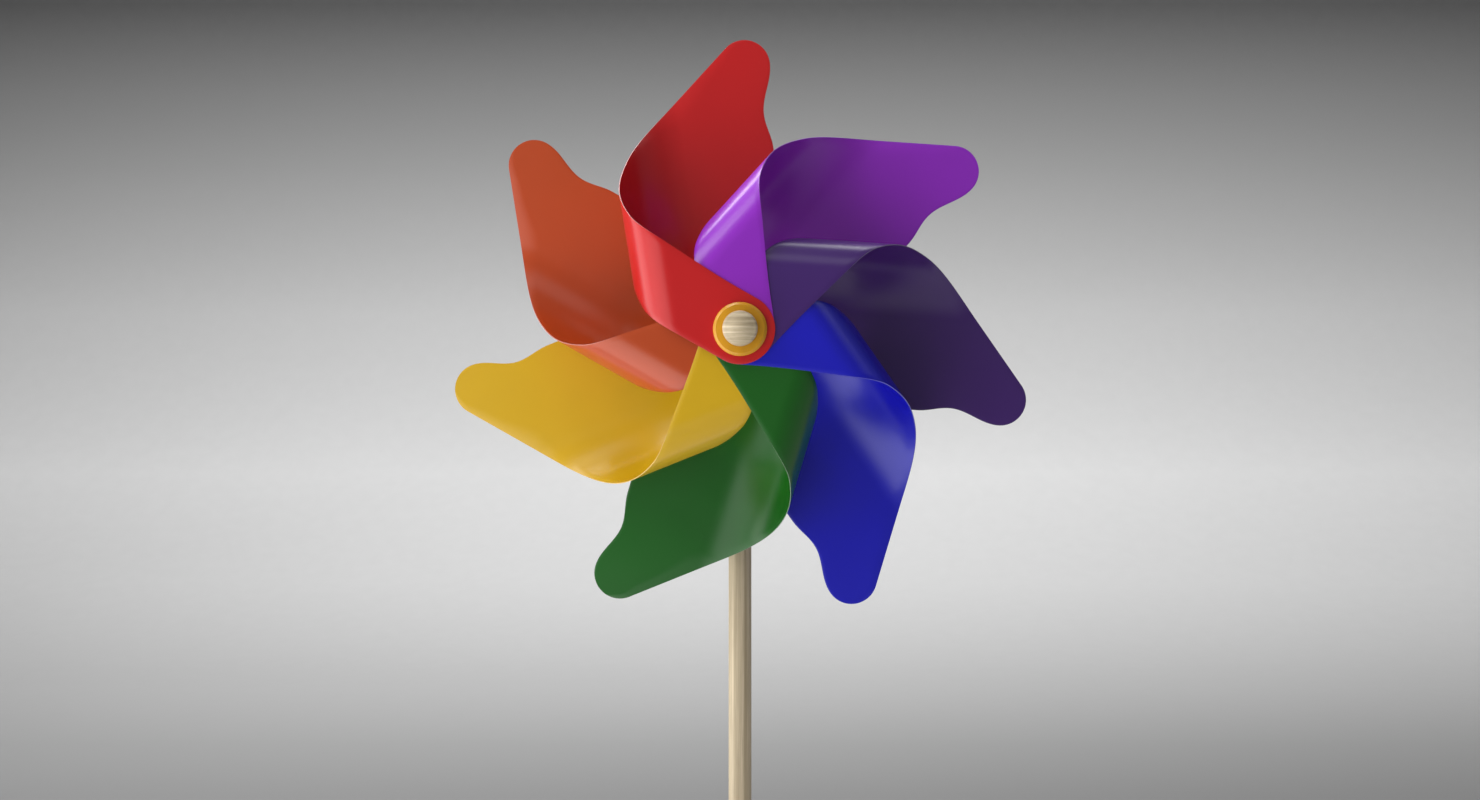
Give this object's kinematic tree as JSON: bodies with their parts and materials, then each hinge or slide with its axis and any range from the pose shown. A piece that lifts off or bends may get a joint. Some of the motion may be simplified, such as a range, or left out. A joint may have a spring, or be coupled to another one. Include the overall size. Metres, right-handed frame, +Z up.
{
  "type": "pinwheel",
  "caption": "Pinwheel with curled, overlapping glossy film vanes in rainbow colours, turning on a wooden axle through a round wooden stick.",
  "frame": {"origin": "centre of the stick's lower end face", "axes": "+Z up along the stick, -Y towards the viewer along the wheel's axle, +X to the viewer's right"},
  "size_m": [0.2446, 0.0937, 0.5649],
  "materials": {
    "stick_wood": "bare, fine vertical grain",
    "turned_wood": "bare, turned",
    "hub_disc": "satin amber",
    "hub_tube": "plain",
    "film_red": "glossy film",
    "film_violet": "glossy film",
    "film_indigo": "glossy film",
    "film_blue": "glossy film",
    "film_green": "glossy film",
    "film_yellow": "glossy film",
    "film_orange": "glossy film"
  },
  "bodies": {
    "stand": {"stick": "stick_wood", "axle": "turned_wood", "knob": "turned_wood", "spacer": "turned_wood"},
    "wheel": {"disc_rear": "hub_disc", "disc_front": "hub_disc", "hub_tube": "hub_tube", "vane_red": "film_red", "vane_violet": "film_violet", "vane_indigo": "film_indigo", "vane_blue": "film_blue", "vane_green": "film_green", "vane_yellow": "film_yellow", "vane_orange": "film_orange"}
  },
  "joints": [
    {"name": "wheel_spin", "type": "hinge", "parent": "stand", "child": "wheel", "pos_m": [0, -0.045, 0.438], "axis": [0, -1, 0], "continuous": true}
  ]
}
